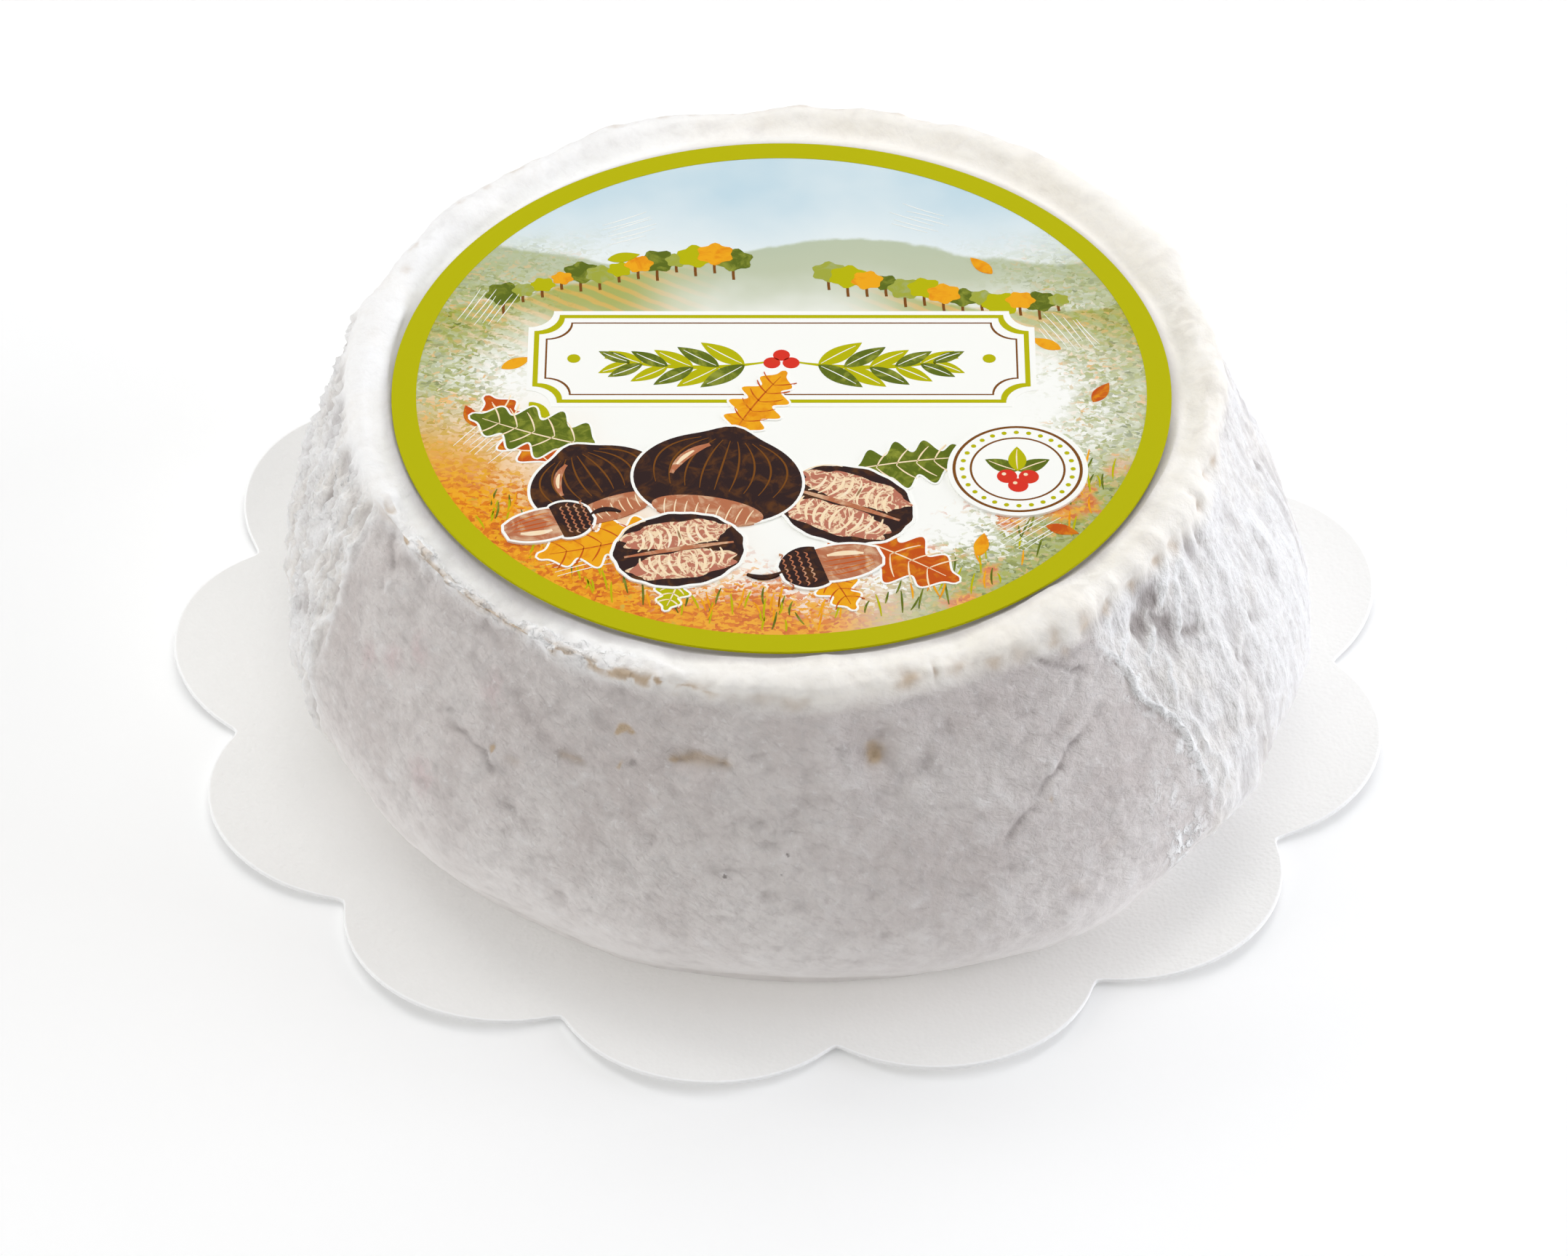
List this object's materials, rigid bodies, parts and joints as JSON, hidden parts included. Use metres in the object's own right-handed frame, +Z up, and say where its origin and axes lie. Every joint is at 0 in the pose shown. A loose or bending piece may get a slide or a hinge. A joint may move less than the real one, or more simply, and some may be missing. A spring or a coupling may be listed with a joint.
{
  "type": "soft white cheese wheel with a paper label on a scalloped card",
  "caption": "Round soft cheese wheel with a white rind, wider at its belly than at its rim, with a round paper label on top and a scalloped card underneath.",
  "frame": {"origin": "centre of the card's flat underside, on the table", "axes": "+Z up through the wheel and its label, -Y towards the viewer of the picture, +X to the viewer's right"},
  "size_m": [0.1685, 0.169, 0.0506],
  "materials": {
    "rind": "soft matt bloomy rind, white with faint warm and violet-grey mottling and a few tan pits",
    "printed_paper": "smooth coated paper printed in olive green, soft greens, gold and brown",
    "white_card": "white board with a faint pebbled embossing and a clean cut edge"
  },
  "bodies": {
    "root": {"scalloped_card": "white_card", "cheese_wheel": "rind", "paper_label": "printed_paper"}
  },
  "joints": []
}
